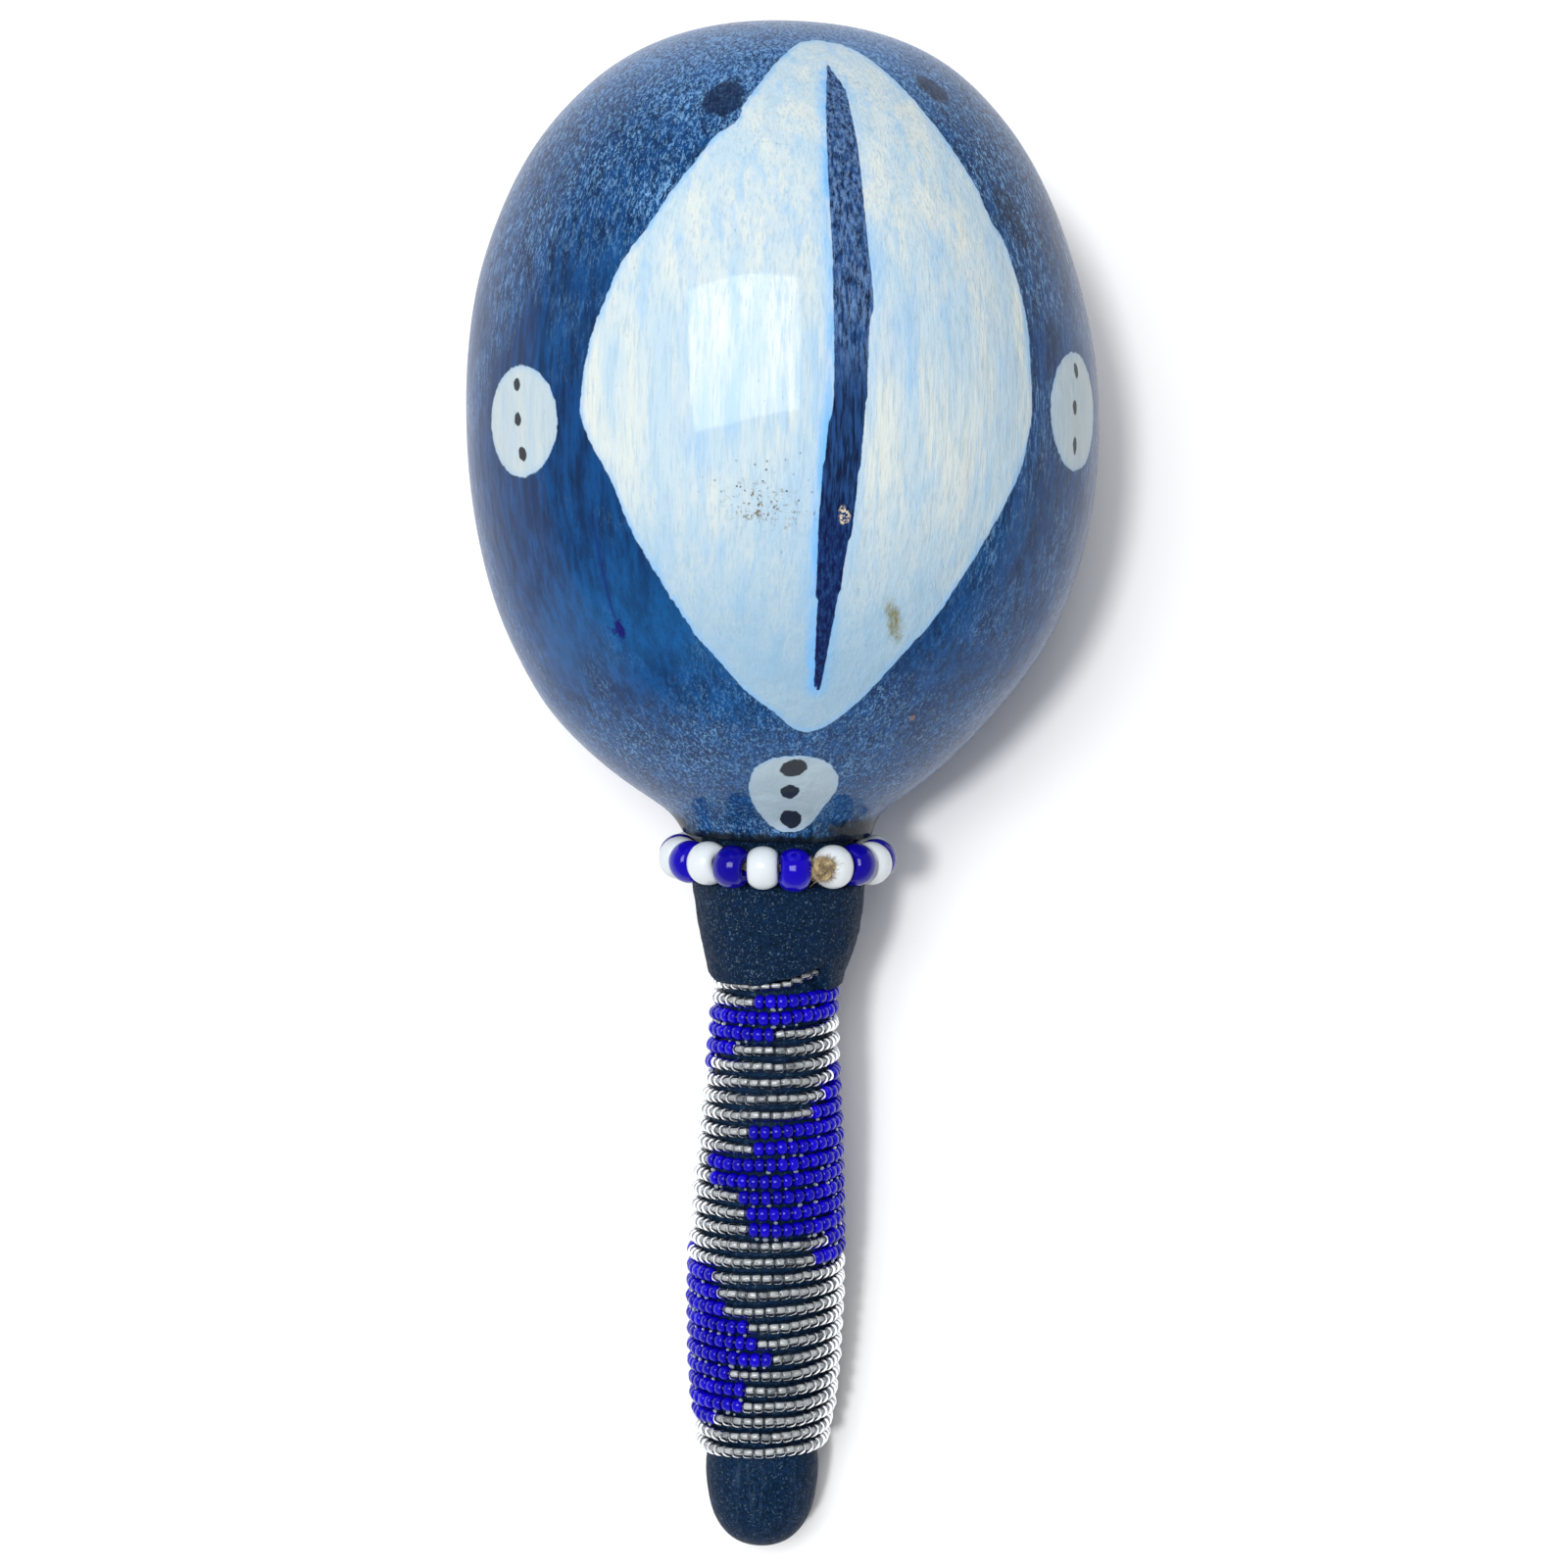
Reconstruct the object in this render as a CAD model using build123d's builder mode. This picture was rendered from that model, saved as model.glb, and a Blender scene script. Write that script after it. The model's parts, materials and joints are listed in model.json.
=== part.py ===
from build123d import *

import os
from math import atan2, cos, degrees, pi, radians, sin, sqrt

# A maraca made from a painted gourd on a wooden handle, with a beaded collar and a beaded grip.
#
# It lies on its side: its long axis is in the YZ plane, the crown of the gourd points to +Y, the
# painted face is up, and the flat under the gourd and the butt of the handle rest on Z = 0. Heights
# are measured along the long axis from the tip of the butt. Angles round the axis are in degrees,
# 0 at the painted face and positive towards +X.

# ---------------------------------------------------------------- driving dimensions, in mm
total_length = 300.0
belly_half_width = 62.3
belly_height = 225.0
neck_half_width = 18.7
flatness = 0.045  # how much shallower than wide the gourd is at its belly
shell_scale = 0.949  # the cavity is the outer form, this much smaller about the belly
neck_hole_radius = 10.35
ground_flat = 1.2  # how deep the slight flat is that the gourd grew on the side it lay on
crown_overhang = 2.2  # how much further the tilted crown reaches past its tip than the butt does

# The gourd's outline: height, half width, and how far the section sits to the side.
gourd_sections = [
    (141.0, neck_half_width, 0.7),
    (144.4, 20.2, 0.1),
    (147.6, 23.6, -0.5),
    (152.0, 29.8, -0.9),
    (158.0, 36.9, -1.2),
    (166.0, 44.4, -1.2),
    (176.0, 51.2, -0.4),
    (187.0, 56.4, 0.0),
    (198.0, 59.6, 0.2),
    (211.0, 61.7, 0.2),
    (belly_height, belly_half_width, 0.0),
    (239.0, 61.3, -0.4),
    (252.0, 58.6, -0.9),
    (264.0, 54.4, -1.1),
    (275.0, 48.8, -1.1),
    (284.0, 42.0, -1.0),
    (291.0, 34.4, -0.8),
    (296.0, 25.5, -0.6),
    (299.0, 15.2, -0.5),
    (total_length, 6.0, -0.5),
]

# The turned handle: height, radius, sideways. It ends in a plain tenon inside the gourd.
tenon_radius = 10.0
tenon_end = 165.0
tenon_aside = 0.7
handle_sections = [
    (0.0, 2.2, 0.0),
    (0.7, 4.6, 0.0),
    (2.6, 7.3, 0.0),
    (6.0, 9.5, 0.0),
    (10.0, 10.65, 0.0),
    (14.5, 11.15, 0.0),
    (18.0, 11.0, 0.0),
    (21.4, 10.45, 0.0),
    (24.6, 10.95, 0.0),
    (29.0, 11.75, 0.0),
    (38.0, 12.5, 0.0),
    (50.0, 12.95, 0.0),
    (62.0, 12.8, 0.1),
    (74.0, 12.3, 0.2),
    (86.0, 11.5, 0.4),
    (96.0, 10.6, 0.6),
    (104.0, tenon_radius, tenon_aside),
]

# The filler moulded over the joint between the handle and the gourd.
filler_clearance = 0.15
filler_sections = [
    (114.8, 13.8, 1.0),
    (118.0, 14.8, 1.2),
    (123.0, 16.0, 1.3),
    (128.5, 16.8, 1.2),
    (131.9, 17.1, 1.0),
]

# The collar: pony beads strung on a cord that is tied round the waist of the filler.
collar_beads = 20
collar_radius = 19.3
collar_bead_radius = 4.0
collar_bead_length = 5.3
collar_bead_rounding = 2.2
collar_hole_radius = 1.25
collar_cord_radius = 0.8
collar_clearance = 0.3
collar_height = 136.45
knot_angle = 21.6
knot_half_gap = 11.85  # from the knot to the first bead on either side of it
knot_size = (1.0, 1.9, 2.2)  # half sizes along the cord, outwards and along the handle
knot_outwards = 2.3

# The grip: seed beads on one thread, wound in a right-handed helix.
grip_turns = 30
grip_pitch = 3.146
grip_top_height = 112.65  # where the first turn crosses the painted face
grip_start_angle = 42.0
grip_end_angle = -100.0
grip_turns_per_node = 2
seed_bead_radius = 1.4
seed_bead_end_radius = 1.1
seed_bead_hole_radius = 0.5
seed_bead_clearance = 0.15
seed_bead_length = {"silver": 1.72, "blue": 1.85}
seed_bead_spacing = {"silver": 2.06, "blue": 2.16}
thread_radius = 0.2
thread_step = 18.0  # it runs straight through each bead's hole, so it turns in small steps

# Where the string turns blue: turn, then the angles between which its beads are blue.
blue_spans = [
    (2, -19, 150),
    (3, -150, 165),
    (4, -160, 2),
    (5, -150, -39),
    (6, -130, -66),
    (7, 61, 105),
    (8, 55, 120),
    (9, 34, 135),
    (10, -22, 150),
    (11, -12, 160),
    (12, -54, 170),
    (13, -56, 170),
    (14, -28, 160),
    (15, -16, 150),
    (16, -14, 140),
    (17, 50, 125),
    (18, 38, 110),
    (18, -105, -80),
    (19, -115, -42),
    (20, -125, -36),
    (21, -135, -29),
    (22, -150, -10),
    (23, -165, -2),
    (24, -165, 3),
    (25, -150, -24),
    (26, -135, -18),
    (27, -120, -19),
    (28, -100, -43),
]

# The seeds that rattle inside: three lots that lie side by side on the lowest wall.
seed_radius = 3.2
seed_spacing = 7.0
tossed_heights = (187.0, 194.0)
tossed_depths = (45.2, 47.4)
tossed_per_row = 4
circling_heights = (203.0, 210.0)
circling_radii = (50.8, 51.8)
circling_per_row = 6
rolling_heights = (217.0, 224.0)
rolling_pivot_height = 234.0
rolling_radius = 52.2
rolling_per_row = 5


# ---------------------------------------------------------------- how the maraca lies
def depth(half_width):
    """Half the gourd's depth where it is this wide: round at the neck, flatter at the belly."""
    fullness = (half_width - neck_half_width) / (belly_half_width - neck_half_width)
    return half_width * (1 - flatness * fullness)


butt_height, butt_radius, butt_aside = handle_sections[4]
rest_tilt = max(
    atan2(depth(half_width) - ground_flat - butt_radius, height - butt_height)
    for height, half_width, aside in gourd_sections
)
tip_z = butt_radius * cos(rest_tilt) - butt_height * sin(rest_tilt)
tip_y = -(total_length * cos(rest_tilt) + crown_overhang) / 2
long_axis = Plane(
    origin=(0, tip_y, tip_z),
    x_dir=(1, 0, 0),
    z_dir=(0, cos(rest_tilt), sin(rest_tilt)),
)


def at_height(sections, height):
    """The radius and the sideways place of a turned shape at a height between its sections."""
    for (low, low_radius, low_aside), (high, high_radius, high_aside) in zip(sections, sections[1:]):
        if low <= height <= high:
            share = (height - low) / (high - low)
            radius = low_radius + share * (high_radius - low_radius)
            return radius, low_aside + share * (high_aside - low_aside)
    return sections[-1][1], sections[-1][2]


def round_the_axis(radius, angle, height, aside=0.0):
    """A point on a ring about the long axis, in the frame of long_axis."""
    return (aside + radius * sin(radians(angle)), -radius * cos(radians(angle)), height)


def across_the_ring(radius, angle, height, aside=0.0, drop=0.0):
    """A place on a ring whose Z runs along the ring, falling by drop for each radian."""
    return Plane(
        origin=round_the_axis(radius, angle, height, aside),
        x_dir=(sin(radians(angle)), -cos(radians(angle)), 0),
        z_dir=(-cos(radians(angle)), -sin(radians(angle)), -drop / radius),
    ).location


def save(piece, name):
    piece.part.label = name
    export_step(piece.part, f"parts/{name}.step")


os.makedirs("parts", exist_ok=True)

# ---------------------------------------------------------------- gourd shell
with BuildPart() as gourd_shell:
    for height, half_width, aside in gourd_sections:
        with BuildSketch(long_axis.offset(height)):
            with Locations((aside, 0)):
                Ellipse(half_width, depth(half_width))
    loft()
    for height, half_width, aside in gourd_sections[2:]:
        inner_height = belly_height + shell_scale * (height - belly_height)
        with BuildSketch(long_axis.offset(inner_height)):
            with Locations((aside, 0)):
                Ellipse(shell_scale * half_width, shell_scale * depth(half_width))
    loft(mode=Mode.SUBTRACT)
    with BuildSketch(long_axis.offset(gourd_sections[0][0])):
        with Locations((tenon_aside, 0)):
            Circle(neck_hole_radius)
    extrude(amount=2 * neck_hole_radius, mode=Mode.SUBTRACT)
    split(bisect_by=Plane.XY, keep=Keep.TOP)
save(gourd_shell, "gourd_shell")

# ---------------------------------------------------------------- handle
with BuildPart() as handle_core:
    for height, radius, aside in handle_sections:
        with BuildSketch(long_axis.offset(height)):
            with Locations((aside, 0)):
                Circle(radius)
    loft()
    with BuildSketch(long_axis.offset(handle_sections[-1][0])):
        with Locations((tenon_aside, 0)):
            Circle(tenon_radius)
    extrude(amount=tenon_end - handle_sections[-1][0])
save(handle_core, "handle_core")

# ---------------------------------------------------------------- neck filler
waist_radius = collar_radius - collar_bead_radius - collar_clearance
waist_bottom = filler_sections[-1][0]
waist_top = gourd_sections[0][0]
filler_bottom = filler_sections[0][0]

with BuildPart() as neck_filler:
    for height, radius, aside in filler_sections:
        with BuildSketch(long_axis.offset(height)):
            with Locations((aside, 0)):
                Circle(radius)
    loft()
    with BuildSketch(long_axis.offset(waist_bottom)):
        with Locations((tenon_aside, 0)):
            Circle(waist_radius)
    extrude(amount=waist_top - waist_bottom)
    with BuildSketch(long_axis.offset(filler_bottom)):
        with Locations((tenon_aside, 0)):
            Circle(tenon_radius + filler_clearance)
    extrude(amount=waist_top - filler_bottom, mode=Mode.SUBTRACT)
save(neck_filler, "neck_filler")

# ---------------------------------------------------------------- collar
knot_at = round_the_axis(collar_radius + knot_outwards, knot_angle, 0)
knot_plane = Plane(
    origin=knot_at,
    x_dir=(sin(radians(knot_angle)), -cos(radians(knot_angle)), 0),
    z_dir=(0, 0, 1),
)
with BuildPart() as knot:
    with BuildSketch(Plane.XZ):
        with BuildLine():
            EllipticalCenterArc((0, 0), knot_size[1], knot_size[2], start_angle=-90, arc_size=180)
            Line((0, -knot_size[2]), (0, knot_size[2]))
        make_face()
    revolve(axis=Axis.Z)

collar_plane = Plane(
    origin=long_axis.from_local_coords((tenon_aside, 0, collar_height)),
    x_dir=long_axis.x_dir,
    z_dir=long_axis.z_dir,
)
with BuildPart(collar_plane) as collar_cord:
    Torus(collar_radius, collar_cord_radius)
    with Locations(knot_plane.location):
        add(knot.part)
save(collar_cord, "collar_cord")

with BuildPart() as pony_bead:
    with BuildSketch(Plane.XZ) as pony_profile:
        with Locations(((collar_hole_radius + collar_bead_radius) / 2, 0)):
            Rectangle(collar_bead_radius - collar_hole_radius, collar_bead_length)
        fillet(pony_profile.vertices().group_by(Axis.X)[-1], collar_bead_rounding)
    revolve(axis=Axis.Z)

collar_step = (360 - 2 * knot_half_gap) / (collar_beads - 1)
for number in range(collar_beads):
    bead_angle = knot_angle + knot_half_gap + number * collar_step
    colour = "blue" if number % 2 else "white"
    with BuildPart(collar_plane) as collar_bead:
        with Locations(across_the_ring(collar_radius, bead_angle, 0)):
            add(pony_bead.part)
    save(collar_bead, f"collar_bead_{colour}_{number // 2 + 1:02d}")

# ---------------------------------------------------------------- beaded grip
seed_beads = {}
for colour, length in seed_bead_length.items():
    with BuildPart() as seed_bead:
        with BuildSketch(Plane.XZ):
            with BuildLine():
                Polyline(
                    (seed_bead_end_radius, -length / 2),
                    (seed_bead_hole_radius, -length / 2),
                    (seed_bead_hole_radius, length / 2),
                    (seed_bead_end_radius, length / 2),
                )
                ThreePointArc(
                    (seed_bead_end_radius, length / 2),
                    (seed_bead_radius, 0),
                    (seed_bead_end_radius, -length / 2),
                )
            make_face()
        revolve(axis=Axis.Z)
    seed_beads[colour] = seed_bead.part


def string_place(travelled):
    """The string's radius, angle, height and sideways place after so many degrees of winding."""
    angle = grip_start_angle - travelled
    height = grip_top_height + grip_pitch * angle / 360
    core_radius, aside = at_height(handle_sections, height)
    return core_radius + seed_bead_clearance + seed_bead_radius, angle, height, aside


def turn_and_angle(angle):
    """The turn that an unwound angle falls in, and the angle within that turn."""
    turn = 1 + round(-angle / 360)
    return turn, angle + 360 * (turn - 1)


def colour_at(angle):
    turn, within = turn_and_angle(angle)
    blue = any(turn == row and first <= within <= last for row, first, last in blue_spans)
    return "blue" if blue else "silver"


bead_places = {}
travelled = 0.0
string_turning = grip_start_angle + 360 * (grip_turns - 1) - grip_end_angle
while travelled < string_turning:
    radius, angle, height, aside = string_place(travelled)
    colour = colour_at(angle)
    lot = (turn_and_angle(angle)[0] - 1) // grip_turns_per_node
    place = across_the_ring(radius, angle, height, aside, grip_pitch / (2 * pi))
    bead_places.setdefault((colour, lot), []).append(place)
    travelled += degrees(seed_bead_spacing[colour] / radius)

for (colour, lot), places in bead_places.items():
    last_turn = (lot + 1) * grip_turns_per_node
    first_turn = last_turn - grip_turns_per_node + 1
    with BuildPart(long_axis) as grip_beads:
        with Locations(*places):
            add(seed_beads[colour])
    save(grip_beads, f"grip_{colour}_turns_{first_turn:02d}_{last_turn:02d}")


def thread_point(travelled):
    radius, angle, height, aside = string_place(travelled)
    return round_the_axis(radius, angle, height, aside)


runs = round(string_turning / thread_step)
with BuildPart() as wrap_thread:
    with BuildLine(long_axis) as thread_path:
        Polyline(*[thread_point(string_turning * run / runs) for run in range(runs + 1)])
    with BuildSketch(Plane(origin=thread_path.line @ 0, z_dir=thread_path.line % 0)):
        Circle(thread_radius)
    sweep(path=thread_path.wire(), transition=Transition.RIGHT)
save(wrap_thread, "wrap_thread")


# ---------------------------------------------------------------- seeds
def spread(count):
    """Evenly spaced numbers, one apart and centred on zero."""
    return [index - (count - 1) / 2 for index in range(count)]


def cavity_rise(across, bottom):
    """How much the lowest wall has risen this far to the side of the middle."""
    return bottom - sqrt(bottom**2 - across**2)


tossed_places = [
    (seed_spacing * step, bottom - cavity_rise(seed_spacing * step, bottom), height)
    for height, bottom in zip(tossed_heights, tossed_depths)
    for step in spread(tossed_per_row)
]
with BuildPart(long_axis) as seeds_tossed:
    with Locations(*tossed_places):
        Sphere(seed_radius)
save(seeds_tossed, "seeds_tossed")

circling_places = [
    round_the_axis(radius, 180 + degrees(seed_spacing / radius) * step, height)
    for height, radius in zip(circling_heights, circling_radii)
    for step in spread(circling_per_row)
]
with BuildPart(long_axis) as seeds_circling:
    with Locations(*circling_places):
        Sphere(seed_radius)
save(seeds_circling, "seeds_circling")

rolling_places = [
    (
        seed_spacing * step,
        sqrt(rolling_radius**2 - (rolling_pivot_height - height) ** 2)
        - cavity_rise(seed_spacing * step, rolling_radius),
        height,
    )
    for height in rolling_heights
    for step in spread(rolling_per_row)
]
with BuildPart(long_axis) as seeds_rolling:
    with Locations(*rolling_places):
        Sphere(seed_radius)
save(seeds_rolling, "seeds_rolling")

# ---------------------------------------------------------------- where the joints are
print("long axis", long_axis.origin, long_axis.z_dir, "tilted", degrees(rest_tilt))
print("collar turns about", collar_plane.origin)
print("circling seeds turn about", long_axis.from_local_coords((0, 0, circling_heights[0])))
print("rolling seeds turn about", long_axis.from_local_coords((0, 0, rolling_pivot_height)))
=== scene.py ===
import json
from functools import reduce
from math import cos, degrees, pi, radians, sin, sqrt
from random import Random

import bpy
import numpy as np
from mathutils import Matrix, Vector, noise


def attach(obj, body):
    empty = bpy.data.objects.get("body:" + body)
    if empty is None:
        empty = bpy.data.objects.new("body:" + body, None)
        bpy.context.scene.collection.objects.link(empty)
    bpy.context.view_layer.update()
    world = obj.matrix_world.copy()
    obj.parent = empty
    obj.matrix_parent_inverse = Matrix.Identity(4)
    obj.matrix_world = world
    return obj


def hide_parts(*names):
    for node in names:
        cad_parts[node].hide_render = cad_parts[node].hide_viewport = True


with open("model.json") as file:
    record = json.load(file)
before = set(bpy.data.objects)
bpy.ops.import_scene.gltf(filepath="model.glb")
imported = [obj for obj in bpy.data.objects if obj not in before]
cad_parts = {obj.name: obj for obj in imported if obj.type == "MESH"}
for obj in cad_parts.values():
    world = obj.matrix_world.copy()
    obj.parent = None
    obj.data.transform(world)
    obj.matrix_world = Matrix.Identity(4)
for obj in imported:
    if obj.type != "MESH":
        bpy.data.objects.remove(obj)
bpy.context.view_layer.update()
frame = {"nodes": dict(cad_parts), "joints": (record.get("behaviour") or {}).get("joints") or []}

# ---- the frame of the long axis
# Places are (across, outward, height) in millimetres: height along the long axis from the tip of
# the butt, outward from the axis to the painted face. Angles are in degrees round the axis, 0 at
# the painted face and positive towards +X.
COLLAR_HEIGHT = 136.45
NECK_ASIDE = 0.7

joints = {joint["name"]: joint for joint in frame["joints"]}
along = Vector(joints["collar_turn"]["axis"]).normalized()
across = Vector((1, 0, 0))
outward = across.cross(along)
tip = Vector(joints["collar_turn"]["pos_m"])
tip -= along * COLLAR_HEIGHT / 1000 + across * NECK_ASIDE / 1000
AXES = np.array([across, outward, along])


def to_model(places):
    """Model coordinates, in metres, of places in the frame of the long axis."""
    return np.array(tip) + np.asarray(places, float) @ AXES / 1000


def ring(radius, angle, height, aside=0):
    """A place on a ring round the axis; every argument may be an array."""
    angle = np.radians(angle)
    return np.stack(
        np.broadcast_arrays(aside + radius * np.sin(angle), radius * np.cos(angle), height), -1
    )


# ---- shapes shared with the CAD
BELLY, NECK, FLATNESS = 62.3, 18.7, 0.045
BELLY_HEIGHT, NECK_END = 225, 141.3
INSIDE, INSIDE_DEPTH = 0.949, 0.955  # against the outside, and against its width

# sections of (height, radius, aside)
GOURD = [
    (141, 18.7, 0.7), (144.4, 20.2, 0.1), (147.6, 23.6, -0.5), (152, 29.8, -0.9),
    (158, 36.9, -1.2), (166, 44.4, -1.2), (176, 51.2, -0.4), (187, 56.4, 0),
    (198, 59.6, 0.2), (211, 61.7, 0.2), (225, 62.3, 0), (239, 61.3, -0.4),
    (252, 58.6, -0.9), (264, 54.4, -1.1), (275, 48.8, -1.1), (284, 42, -1),
    (291, 34.4, -0.8), (296, 25.5, -0.6), (299, 15.2, -0.5), (300, 6, -0.5),
]
HANDLE = [
    (0, 2.2, 0), (0.7, 4.6, 0), (2.6, 7.3, 0), (6, 9.5, 0), (10, 10.65, 0),
    (14.5, 11.15, 0), (18, 11, 0), (21.4, 10.45, 0), (24.6, 10.95, 0),
    (29, 11.75, 0), (38, 12.5, 0), (50, 12.95, 0), (62, 12.8, 0.1),
    (74, 12.3, 0.2), (86, 11.5, 0.4), (96, 10.6, 0.6), (104, 10, 0.7),
]
FILLER = [(110, 12.9, 0.9), (114.8, 13.8, 1), (118, 14.8, 1.2), (123, 16, 1.3),
          (128.5, 16.8, 1.2), (131.9, 17.1, 1)]
TENON_RADIUS, TENON_START, TENON_END = 10, 107, 165

GRIP_TURNS, GRIP_PITCH, GRIP_TOP = 30, 3.146, 112.65
GRIP_START, GRIP_END = 42, -100
BEAD_RADIUS, BEAD_CLEARANCE = 1.4, 0.15
BEAD_SPACING = {"silver": 2.06, "blue": 2.16}
# stretches of blue beads as (turn, first angle, last angle)
BLUE_SPANS = [
    (2, -19, 150), (3, -150, 165), (4, -160, 2), (5, -150, -39), (6, -130, -66), (7, 61, 105),
    (8, 55, 120), (9, 34, 135), (10, -22, 150), (11, -12, 160), (12, -54, 170), (13, -56, 170),
    (14, -28, 160), (15, -16, 150), (16, -14, 140), (17, 50, 125), (18, 38, 110),
    (18, -105, -80), (19, -115, -42), (20, -125, -36), (21, -135, -29), (22, -150, -10),
    (23, -165, -2), (24, -165, 3), (25, -150, -24), (26, -135, -18), (27, -120, -19),
    (28, -100, -43),
]
RING_RADIUS, KNOT_ANGLE, KNOT_GAP, RING_BEADS = 19.3, 21.6, 11.85, 20
SEED_RADIUS, SEED_SPACING = 3.05, 7


def depth(half_width):
    return half_width * (1 - FLATNESS * (half_width - NECK) / (BELLY - NECK))


def cubic(xs, ys, at):
    """A natural cubic spline through the points, read at each of at."""
    xs, ys, at = np.asarray(xs, float), np.asarray(ys, float), np.asarray(at, float)
    gaps, count = np.diff(xs), len(xs)
    system, right = np.eye(count), np.zeros(count)
    for i in range(1, count - 1):
        system[i, i - 1 : i + 2] = gaps[i - 1], 2 * (gaps[i - 1] + gaps[i]), gaps[i]
        right[i] = 6 * ((ys[i + 1] - ys[i]) / gaps[i] - (ys[i] - ys[i - 1]) / gaps[i - 1])
    bend = np.linalg.solve(system, right)
    k = np.clip(np.searchsorted(xs, at) - 1, 0, count - 2)
    left, over, gap = xs[k + 1] - at, at - xs[k], gaps[k]
    return (
        (bend[k] * left**3 + bend[k + 1] * over**3) / (6 * gap)
        + (ys[k] / gap - bend[k] * gap / 6) * left
        + (ys[k + 1] / gap - bend[k + 1] * gap / 6) * over
    )


def profile(sections, spacing):
    """Rows of (height, radius, aside), evenly spaced along the smooth outline of the sections."""
    rows = np.array(sections, float)
    run = np.concatenate([[0], np.cumsum(np.hypot(*np.diff(rows[:, :2], axis=0).T))])
    at = np.linspace(0, run[-1], max(3, round(run[-1] / spacing)))
    return np.stack([cubic(run, rows[:, k], at) for k in range(3)], 1)


def core_at(height):
    """The handle's radius and sideways place at a height."""
    heights, radii, asides = zip(*HANDLE)
    return float(np.interp(height, heights, radii)), float(np.interp(height, heights, asides))


# ---- mesh helpers
def grid_faces(rows, columns, closed=False):
    """Quads of a grid that closes round its columns, and over its rows if closed."""
    row, column = np.meshgrid(
        np.arange(rows if closed else rows - 1), np.arange(columns), indexing="ij"
    )
    up, beside = (row + 1) % rows, (column + 1) % columns
    corners = [row * columns + column, row * columns + beside]
    corners += [up * columns + beside, up * columns + column]
    return np.stack(corners, -1).reshape(-1, 4).tolist()


def fan(row_start, columns, apex, inward=False):
    """Triangles from a ring of points to one point beyond its last row."""
    faces = [(row_start + i, row_start + (i + 1) % columns, apex) for i in range(columns)]
    return [face[::-1] for face in faces] if inward else faces


def piece(name, places, faces, material, body="root", stands_for=(), floor=-1):
    """A smooth mesh object from places, none of them below floor in metres, riding on its body."""
    points = to_model(places)
    points[:, 2] = np.maximum(points[:, 2], floor)
    mesh = bpy.data.meshes.new(name)
    mesh.from_pydata(points.tolist(), [], faces)
    mesh.materials.append(material)
    mesh.shade_smooth()
    made = bpy.data.objects.new(name, mesh)
    bpy.context.scene.collection.objects.link(made)
    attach(made, body)
    if stands_for:
        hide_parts(*stands_for)
    return made


def mark(made, name, values):
    """Stores one number for each point of a piece, for its material to read."""
    layer = made.data.attributes.new(name, "FLOAT", "POINT")
    layer.data.foreach_set("value", np.asarray(values, np.float32))


def rough(places, scale, seed=0):
    """Noise of about -1 to 1 at each place, with features of about 1 / scale mm."""
    shift = Vector((seed, 2.3 * seed, -1.7 * seed))
    return np.array([noise.noise(Vector(p) * scale + shift) for p in np.asarray(places)])


def tube(path, radii, sides, closed=False):
    """Points and faces of a tube along a path in millimetres."""
    path = np.asarray(path, float)
    count = len(path)
    radii = np.broadcast_to(radii, count)
    if closed:
        tangents = np.roll(path, -1, 0) - np.roll(path, 1, 0)
    else:
        tangents = np.gradient(path, axis=0)
    tangents /= np.linalg.norm(tangents, axis=1)[:, None]
    side = np.cross(tangents[0], (0.31, 0.77, 0.55))
    points = []
    for place, tangent, radius in zip(path, tangents, radii):
        side = side - tangent * side.dot(tangent)
        side /= np.linalg.norm(side)
        other = np.cross(tangent, side)
        for k in range(sides):
            turn = 2 * pi * k / sides
            points.append(place + radius * (side * cos(turn) + other * sin(turn)))
    return np.array(points), grid_faces(count, sides, closed)


def joined(parts):
    """Several (points, faces) as one."""
    points, faces, start = [], [], 0
    for some_points, some_faces in parts:
        points.append(some_points)
        faces += [[corner + start for corner in face] for face in some_faces]
        start += len(some_points)
    return np.concatenate(points), faces


def turned(outline, sides):
    """Points and faces of a closed outline of (radius, z) turned about Z."""
    radius, z = np.array(outline, float).T[:, :, None]
    turn = 2 * pi * np.arange(sides) / sides
    points = np.stack(np.broadcast_arrays(radius * np.cos(turn), radius * np.sin(turn), z), -1)
    return points.reshape(-1, 3), grid_faces(len(outline), sides, closed=True)


def mirrored(half):
    """An outline of (radius, z) up to z = 0, and its mirror image above it."""
    return half + [(r, -z) for r, z in half[-2::-1]]


def strung(template, places):
    """Copies of a template, one for each (place, radial, tangent, scale): points, faces, owners."""
    shape, faces = template
    points, all_faces, owners = [], [], []
    for number, (place, radial, tangent, scale) in enumerate(places):
        tangent = tangent / np.linalg.norm(tangent)
        radial = radial - tangent * radial.dot(tangent)
        radial /= np.linalg.norm(radial)
        frame_of_bead = np.array([radial, np.cross(tangent, radial), tangent])
        points.append(place + (shape * scale) @ frame_of_bead)
        start = number * len(shape)
        all_faces.append(np.array(faces) + start)
        owners.append(np.full(len(shape), number))
    return np.concatenate(points), np.concatenate(all_faces).tolist(), np.concatenate(owners)


# ---- material helpers
def srgb(code):
    """A linear colour from a six-figure sRGB code."""
    parts = [int(code[i : i + 2], 16) / 255 for i in (0, 2, 4)]
    return (*[c / 12.92 if c <= 0.04045 else ((c + 0.055) / 1.055) ** 2.4 for c in parts], 1)


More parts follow.
